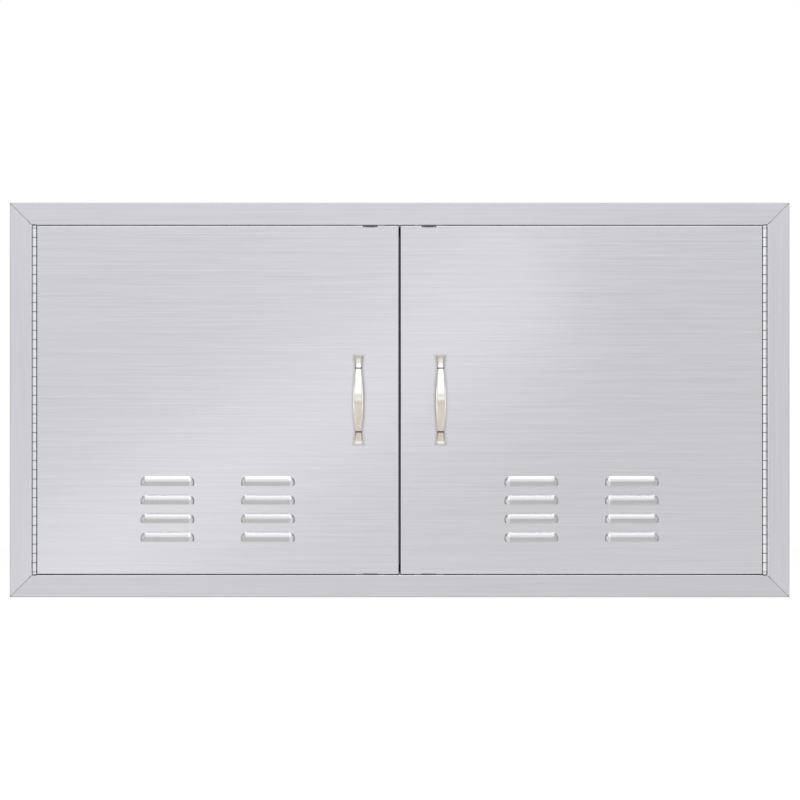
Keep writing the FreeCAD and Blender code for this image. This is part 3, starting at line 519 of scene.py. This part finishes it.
# %% [markdown]
# A continuous hinge is rolled from bright sheet and keeps fine draw marks along its knuckles. Its
# pin is drawn wire, dark with old oil. The outer half of the barrel, in the angle with the frame,
# is painted darker as shade, and grime sits in the joints between the knuckles. The distance to
# the nearest joint rises and falls evenly with height, which is what the ping-pong operation
# gives.

# %% Hinges
hinge_axis = 499.73 * millimetre
first_knuckle = 5.425 * millimetre
knuckle_pitch = 12.7 * millimetre
half_barrel = (0.0, 1.9 * millimetre)
edge_of_joint = (0.35 * millimetre, 0.8 * millimetre)
# The share of colour that the painted shade on the barrel keeps.
kept_in_barrel_shade = (0.38, 0.37, 0.36)
kept_in_a_joint = (0.45, 0.44, 0.43)
draw_marks_along, draw_marks_across = 12, 900
draw_mark_depth = 0.004 * millimetre


def rolled_steel(name, dark, light):
    finish = Finish(name)
    x, y, z = finish.place()
    drawn_out = finish.vector(x * draw_marks_across, y * draw_marks_across, z * draw_marks_along)
    draw_marks = finish.noise(drawn_out)
    metal = finish.blend(draw_marks, dark, light)
    # Painted shade on the outer half of the barrel.
    barrel_shade = (abs(x) - hinge_axis).within(*half_barrel)
    metal = finish.blend(barrel_shade, metal, finish.scaled(metal, kept_in_barrel_shade))
    along = (z - first_knuckle) / knuckle_pitch
    from_joint = along.math("PINGPONG", along, 0.5) * knuckle_pitch
    joint = 1 - from_joint.within(*edge_of_joint)
    colour = finish.blend(joint, metal, finish.scaled(metal, kept_in_a_joint))
    rough = 0.22 + draw_marks * 0.14 + barrel_shade * 0.2
    normal = finish.bump(draw_marks, draw_mark_depth)
    return finish.surface(colour, rough, normal, Metallic=1.0)


hinge_metal = rolled_steel(
    "rolled_steel_of_hinges", screen_colour(196, 198, 199), screen_colour(224, 226, 227)
)
wire_metal = rolled_steel(
    "drawn_wire_of_hinge_pins", screen_colour(84, 82, 80), screen_colour(112, 110, 107)
)
coat(hinge_metal, ["hinge_frame_leaf", "hinge_door_leaf"], sides)
coat(wire_metal, ["hinge_pin"], sides)

# %% [markdown]
# Gussets and stiffeners are cut from mill sheet that nobody brushes, so they are cloudy, with
# faint rolling marks. Screws, poles and strike plates are zinc plated: a bluish grey with small
# patches where the plating took differently, and pits too small to see one by one.

# %% Mill sheet and zinc plate
rolling_along, rolling_across = 8, 700
rolling_mark_depth = 0.004 * millimetre
pit_depth = 0.008 * millimetre
patch_contrast = (0.3, 0.7)


def mill_sheet(name):
    finish = Finish(name)
    x, y, z = finish.place()
    cloud = finish.noise(finish.vector(x, y, z), scale=55.0, detail=4.0, roughness=0.6)
    rolled_out = finish.vector(x * rolling_along, y * rolling_across, z * rolling_across)
    rolling = finish.noise(rolled_out)
    dark, light = screen_colour(178, 181, 183), screen_colour(203, 205, 206)
    colour = finish.blend(cloud.within(*patch_contrast), dark, light)
    rough = 0.36 + cloud * 0.14 + rolling * 0.06
    return finish.surface(colour, rough, finish.bump(rolling, rolling_mark_depth), Metallic=1.0)


def zinc_plate(name):
    finish = Finish(name)
    point = finish.vector(*finish.place())
    patches = finish.noise(point, scale=260.0, detail=3.0, roughness=0.6)
    pits = finish.noise(point, scale=2600.0)
    blue, yellow = screen_colour(176, 181, 186), screen_colour(214, 214, 208)
    colour = finish.blend(patches.within(*patch_contrast), blue, yellow)
    rough = 0.26 + patches * 0.16
    return finish.surface(colour, rough, finish.bump(pits, pit_depth), Metallic=1.0)


hidden_metal = mill_sheet("mill_sheet_of_gussets_and_stiffeners")
plated_metal = zinc_plate("zinc_plate_of_screws_and_strikes")
coat(hidden_metal, ["corner_gusset"], corners)
coat(hidden_metal, ["handle_stiffener"], sides)
coat(plated_metal, ["handle_screws"], sides)
coat(plated_metal, ["catch_screws", "catch_poles", "strike_plate"], corners)

# %% [markdown]
# Welds. The members are welded to each other at the mitres and to the gussets behind them, from
# the back, where nobody sees it. Both kinds of weld are built from rings of points that are
# joined by faces and closed at both ends. The heat leaves straw and blue tints on the bare metal.

# %% Rings of points and the metal of the welds
points_round = 24
round_angles = [2 * math.pi * index / points_round for index in range(points_round)]
tint_contrast = (0.35, 0.65)
scale_depth = 0.01 * millimetre


def bridge(builder, rings):
    """Faces between neighbouring rings of points, and a cap on the first and the last."""
    for first, second in zip(rings, rings[1:]):
        for index in range(points_round):
            after = (index + 1) % points_round
            builder.faces.new((first[index], first[after], second[after], second[index]))
    builder.faces.new(rings[0][::-1])
    builder.faces.new(rings[-1])


def finished_piece(name, builder, finish):
    """Turn the points and faces into a smooth piece of the frame."""
    bmesh.ops.recalc_face_normals(builder, faces=builder.faces)
    mesh = bpy.data.meshes.new(name)
    builder.to_mesh(mesh)
    builder.free()
    mesh.shade_smooth()
    mesh.materials.append(finish)
    piece = bpy.data.objects.new(name, mesh)
    scene.collection.objects.link(piece)
    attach(piece, "frame")
    print(name, "has", len(mesh.polygons), "faces")


def corner_point(side, level, outward_x, outward_z, y):
    """A point near a corner of the opening, by its distances outwards from that corner."""
    return Vector((
        side * (opening_half_width + outward_x),
        y,
        opening_middle + level * (opening_half_height + outward_z),
    ))


def weld_metal(name):
    finish = Finish(name)
    point = finish.vector(*finish.place())
    heat = finish.noise(point, scale=420.0, detail=3.0)
    scale = finish.noise(point, scale=2600.0)
    straw, blue = screen_colour(172, 160, 142), screen_colour(138, 142, 156)
    colour = finish.blend(heat.within(*tint_contrast), straw, blue)
    normal = finish.bump(scale, scale_depth)
    return finish.surface(colour, 0.34 + scale * 0.2, normal, Metallic=1.0)


welded_metal = weld_metal("heat_tinted_steel_of_welds")

# %% [markdown]
# A short bead closes the inner end of each mitre. It is a row of frozen ripples, so it is drawn
# as a string of cross-sections whose size swells and shrinks. Each cross-section stands proud of
# the flange on one side and is almost flat on the other, where it has sunk into the sheet.

# %% Weld beads
ripples_in_bead = 7
sections_in_bead = 42
height_of_ripples = 0.09
least_taper = 0.04
proud_of_sheet = 0.7
sunk_in_sheet = 0.08
bead_reach = (1.7 * millimetre, 4.3 * millimetre)
bead_radius = 1.3 * millimetre
flange_sheet = 1.0 * millimetre


def radius_of_bead(share):
    """The radius at a share of the bead's length: rippled, and tapered towards both ends."""
    ripple = 1 + height_of_ripples * abs(math.sin(math.pi * ripples_in_bead * share))
    taper = math.sqrt(max(least_taper, 1 - abs(2 * share - 1) ** 3))
    return bead_radius * ripple * taper


def weld_bead(name, side, level, finish):
    """A rippled string of weld on the back of the flange, along the mitre."""
    back_of_flange = door_front + flange_sheet
    start, end = [corner_point(side, level, reach, reach, back_of_flange) for reach in bead_reach]
    sideways = Vector((-(end - start).z, 0, (end - start).x)).normalized()
    builder = bmesh.new()
    rings = []
    for section in range(sections_in_bead):
        share = section / (sections_in_bead - 1)
        radius = radius_of_bead(share)
        middle = start.lerp(end, share)
        ring = []
        for angle in round_angles:
            out = math.sin(angle)
            lift = Vector((0, (proud_of_sheet if out > 0 else sunk_in_sheet) * out * radius, 0))
            ring.append(builder.verts.new(middle + sideways * math.cos(angle) * radius + lift))
        rings.append(ring)
    bridge(builder, rings)
    finished_piece(name, builder, finish)


print("a bead is up to", round(2 * radius_of_bead(0.5) / millimetre, 2), "mm wide")

# %% [markdown]
# Each gusset is held by five spot welds, flat dimples with a low rim. A dimple is a profile
# turned about its own middle: each point of the profile makes one ring. The last ring is sunk
# into the gusset, so that no gap shows under the rim.

# %% Spot welds
# Radius and height in millimetres, from the middle of a dimple to its rim.
spot_profile = [(0.05, 0.01), (1.5, 0.02), (2.0, 0.1), (2.4, 0.11), (2.9, -0.03)]
# Distances in millimetres outwards from the corner of the opening, along X and along Z.
spot_places = [(16.2, 16.2), (16.2, -8.0), (16.2, -32.0), (-8.0, 16.2), (-32.0, 16.2)]


def spot_welds(name, side, level, gusset, finish):
    """The dimples on the back of a gusset."""
    back_of_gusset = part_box(gusset)[1].y
    builder = bmesh.new()
    for place in spot_places:
        outward_x, outward_z = [distance * millimetre for distance in place]
        middle = corner_point(side, level, outward_x, outward_z, back_of_gusset)
        rings = []
        for radius, height in spot_profile:
            reach, lift = radius * millimetre, height * millimetre
            ring = []
            for angle in round_angles:
                point = Vector((math.cos(angle) * reach, lift, math.sin(angle) * reach))
                ring.append(builder.verts.new(middle + point))
            rings.append(ring)
        bridge(builder, rings)
    finished_piece(name, builder, finish)


for level, end_name in ((-1, "bottom"), (1, "top")):
    for side, side_name in ((-1, "left"), (1, "right")):
        corner = f"{end_name}_{side_name}"
        weld_bead(f"mitre_weld_{corner}", side, level, welded_metal)
        spot_welds(f"spot_welds_{corner}", side, level, f"corner_gusset_{corner}", welded_metal)

# %% [markdown]
# The pulls are polished castings, with their light and shade painted into the colour. The upper
# half is painted light as the highlight of the overhead lamp, the lower half is painted tan as a
# reflection of the floor, and the two fine grooves beside the necks are painted almost black as
# shade. The bevels along the arch are painted brightest as highlights, the upper foot is painted
# darker as shade, and the tip of the lower one is painted bright as a highlight. Height tells the
# halves and the feet apart, and which way the metal faces tells the bevels.

# %% Polished pulls
pull_low, pull_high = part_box("handle_left")
middle_of_pulls = (pull_low[2] + pull_high[2]) / 2
into_highlit_half = (-3.5 * millimetre, 4 * millimetre)
into_shaded_foot = (42 * millimetre, 57 * millimetre)
into_lower_tip = (55.5 * millimetre, 57 * millimetre)
off_the_arch = (38 * millimetre, 46 * millimetre)
bevel_looks_aside = (0.3, 0.6)
edge_of_groove = (0.7 * millimetre, 1.0 * millimetre)
hairlines_along, hairlines_across = 60, 1500
smudge_contrast = (0.35, 0.7)
dull_smudges = (0.45, 0.75)
wave_depth = 0.02 * millimetre


def cast_metal(finish, height, smudge, bevel):
    """Painted floor reflection and smudges, with painted highlights and shade from dull to
    bright.
    """
    # The tan is a painted reflection of the floor, varied by smudges.
    darker, lighter = screen_colour(185, 176, 166), screen_colour(195, 187, 178)
    metal = finish.blend(smudge.within(*smudge_contrast), darker, lighter)
    # Painted highlight on the upper half, shade on the upper foot, highlights on the tip and
    # bevels.
    for share, colour in (
        (height.within(*into_highlit_half), screen_colour(209, 206, 201)),
        (height.within(*into_shaded_foot), screen_colour(172, 168, 162)),
        ((-height).within(*into_lower_tip), screen_colour(220, 215, 208)),
        (bevel, screen_colour(236, 233, 228)),
    ):
        metal = finish.blend(share, metal, colour)
    return metal


def polished_metal(name):
    finish = Finish(name)
    x, y, z = finish.place()
    waves = finish.noise(finish.vector(x, y, z), scale=38.0, detail=1.0)
    mopped = finish.vector(x * hairlines_along, y * hairlines_along, z * hairlines_across)
    hairlines = finish.noise(mopped)
    smudge = finish.noise(finish.vector(x, y, z * 0.6), scale=90.0, detail=3.0, roughness=0.6)
    height = z - middle_of_pulls
    sideways, _, _ = finish.facing()
    bevel = abs(sideways).within(*bevel_looks_aside) * (1 - abs(height).within(*off_the_arch))
    from_groove = abs(abs(height) - groove_from_middle)
    # The grooves beside the necks are painted almost black as shade.
    groove_shade = (1 - from_groove.within(*edge_of_groove)) * (1 - bevel)
    metal = cast_metal(finish, height, smudge, bevel)
    colour = finish.blend(groove_shade, metal, screen_colour(24, 15, 14))
    rough = 0.13 + hairlines * 0.05 + smudge.within(*dull_smudges) * 0.05 + groove_shade * 0.4
    normal = finish.bump(waves * 0.9 + hairlines * 0.1, wave_depth)
    return finish.surface(colour, rough, normal, Metallic=1.0)


coat(polished_metal("polished_metal_of_pulls"), ["handle"], sides)

# %% [markdown]
# The catches are grey moulded plastic with a fine spark-eroded grain from the mould, and their
# magnets are ferrite, a dark grey ceramic that is ground flat and chips at its edges. The seals
# between the doors are black rubber, matt, with the faint bloom that rubber gets as it ages.

# %% Catches and seals
spark_mark_depth = 0.03 * millimetre
crystal_depth = 0.02 * millimetre
pore_depth = 0.02 * millimetre


def moulded_plastic(name):
    finish = Finish(name)
    point = finish.vector(*finish.place())
    spark_marks = finish.noise(point, scale=2200.0)
    flow = finish.noise(point, scale=120.0)
    colour = finish.blend(flow, screen_colour(104, 107, 110), screen_colour(120, 123, 126))
    rough = 0.42 + spark_marks * 0.2
    return finish.surface(colour, rough, finish.bump(spark_marks, spark_mark_depth))


def ferrite(name):
    finish = Finish(name)
    point = finish.vector(*finish.place())
    crystals = finish.node(
        "ShaderNodeTexVoronoi", inputs={"Vector": point, "Scale": 1800.0}, output="Distance"
    )
    dust = finish.noise(point, scale=400.0, detail=3.0)
    colour = finish.blend(dust, screen_colour(58, 57, 56), screen_colour(86, 84, 82))
    return finish.surface(colour, 0.62 + dust * 0.2, finish.bump(crystals, crystal_depth))


def rubber(name):
    finish = Finish(name)
    point = finish.vector(*finish.place())
    bloom = finish.noise(point, scale=90.0, detail=3.0)
    pores = finish.noise(point, scale=3000.0, detail=1.0)
    colour = finish.blend(bloom, screen_colour(7, 7, 8), screen_colour(16, 16, 17))
    normal = finish.bump(pores, pore_depth)
    return finish.surface(colour, 0.7 + pores * 0.15, normal, Specular_IOR_Level=0.1)


coat(moulded_plastic("moulded_plastic_of_catches"), ["catch_housing"], corners)
coat(ferrite("ferrite_of_magnets"), ["catch_magnet"], corners)
coat(rubber("black_rubber_of_seals"), ["meeting_seal"], sides)

# %% [markdown]
# The studio. The door hangs over a pale floor in a white room. The floor is a matt white, and
# some white of its own is added where the camera sees it, directly or in polished metal, so that
# it runs into the white of the room and still keeps the shadow of the door. More lamps would
# whiten it too, but they would whiten the door as well.

# %% Floor
door_low, door_high = solid_box
floor_size = 12.0
height_of_door_over_floor = 0.4
floor_level = door_low.z - height_of_door_over_floor
floor_paint = (0.86, 0.86, 0.855, 1.0)
floor_glow = 0.54
white = (1.0, 1.0, 1.0, 1.0)


def what_the_camera_sees(finish):
    """1 for a ray from the camera, by way of polished metal or glass too, and 0 for any other."""
    direct, mirrored, through_glass = [
        finish.node("ShaderNodeLightPath", output=f"Is {kind} Ray")
        for kind in ("Camera", "Glossy", "Transmission")
    ]
    return direct.larger(mirrored.larger(through_glass))


def white_floor():
    finish = Finish("matt_white_floor")
    paint = finish.node("ShaderNodeBsdfDiffuse", inputs={"Color": floor_paint})
    own_white = what_the_camera_sees(finish) * floor_glow
    glow = finish.node("ShaderNodeEmission", inputs={"Color": white, "Strength": own_white})
    both = finish.node("ShaderNodeAddShader", inputs={0: paint, 1: glow})
    finish.node("ShaderNodeOutputMaterial", inputs={"Surface": both})
    return finish.owner


def make_floor():
    mesh = bpy.data.meshes.new("studio_floor")
    builder = bmesh.new()
    half = floor_size / 2
    corners_of_floor = [(-half, -half), (half, -half), (half, half), (-half, half)]
    builder.faces.new([builder.verts.new((x, y, floor_level)) for x, y in corners_of_floor])
    builder.to_mesh(mesh)
    builder.free()
    floor = bpy.data.objects.new("studio_floor", mesh)
    scene.collection.objects.link(floor)
    floor.data.materials.append(white_floor())


make_floor()
print("the floor is at", round(floor_level, 4))

# %% [markdown]
# The room is white where the camera looks, and half as bright where it only lights the door, so
# that the lamps can model the folds.

# %% Room
light_of_the_room = 0.5


def light_the_room():
    room = Finish("white_room", kind="worlds")
    strength = what_the_camera_sees(room) * (1 - light_of_the_room) + light_of_the_room
    back = room.node("ShaderNodeBackground", inputs={"Color": white, "Strength": strength})
    room.node("ShaderNodeOutputWorld", inputs={"Surface": back})
    scene.world = room.owner


light_the_room()
print("the room lights the door with", light_of_the_room, "of its white")

# %% [markdown]
# The lamps. A wide soft box hangs above and in front of the door and brightens whatever is turned
# upwards, such as the tops of the louvres. A larger one, high in front, and a weak one, low in
# front, fill the flats. Two at the sides light the hinges and the bevels of the pulls, the left
# one more than the right one. The last two lean over behind the camera, and the brushed doors
# show them as the broad diagonal glow that crosses them both. A lamp's power follows from its
# brightness and its size, so that one number says how bright its reflection is.

# %% Lamps
door_centre = (door_low + door_high) / 2


def soft_box(name, place, size, brightness, target=door_centre, turn=0.0):
    """A flat lamp whose face has the given brightness, where 1 is the white of the room."""
    width, height = size
    data = bpy.data.lights.new(name, "AREA")
    data.shape = "RECTANGLE"
    data.size = width
    data.size_y = height
    data.energy = brightness * math.pi * width * height
    lamp = bpy.data.objects.new(name, data)
    scene.collection.objects.link(lamp)
    lamp.location = place
    aim = (Vector(target) - Vector(place)).to_track_quat("-Z", "Y").to_matrix()
    lamp.rotation_euler = (aim @ Matrix.Rotation(math.radians(turn), 3, "Z")).to_euler()
    lamp.visible_camera = False
    print(name, "gives", round(data.energy, 2), "watts")


soft_box("overhead_soft_box", (0.0, -0.55, 2.3), size=(3.2, 1.1), brightness=1.4)
soft_box("high_front_soft_box", (0.0, -2.42, 2.34), size=(5.0, 3.0), brightness=0.75)
soft_box("low_front_soft_box", (0.0, -3.4, 0.25), size=(6.0, 1.6), brightness=0.12)
soft_box("left_soft_box", (-2.6, -1.0, 0.4), size=(1.8, 1.6), brightness=0.6)
soft_box("right_soft_box", (2.6, -1.0, 0.4), size=(1.8, 1.6), brightness=0.3)
soft_box(
    "leaning_soft_box",
    (-0.36, -2.9, 0.115),
    size=(1.9, 0.25),
    brightness=0.56,
    target=(-0.36, 0.0, 0.115),
    turn=31.0,
)
soft_box(
    "wide_leaning_soft_box",
    (-0.8, -2.9, 0.9),
    size=(3.2, 1.5),
    brightness=0.06,
    target=(-0.8, 0.0, 0.9),
    turn=35.5,
)

# %% [markdown]
# The camera stands square to the door, level with its middle, as in the photograph. A long lens
# from more than two and a half metres away keeps the sides of the folds and pulls almost out of
# sight.

# %% Camera
photo_width = 800
door_width_in_photo = 780
lens = 85.0
sensor = 36.0
camera_x = 0.5 * millimetre
flange_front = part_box("frame_top")[0].y


def make_camera():
    data = bpy.data.cameras.new("square_camera")
    data.lens = lens
    data.sensor_width = sensor
    camera = bpy.data.objects.new("square_camera", data)
    scene.collection.objects.link(camera)
    seen_width = (door_high.x - door_low.x) * photo_width / door_width_in_photo
    distance = seen_width * lens / sensor
    camera.location = (camera_x, flange_front - distance, door_centre.z)
    camera.rotation_euler = (math.radians(90), 0.0, 0.0)
    scene.camera = camera
    return distance


print("the camera stands", round(make_camera(), 3), "metres from the flange")

# %% [markdown]
# The dressed door must stay inside the box of its solids.
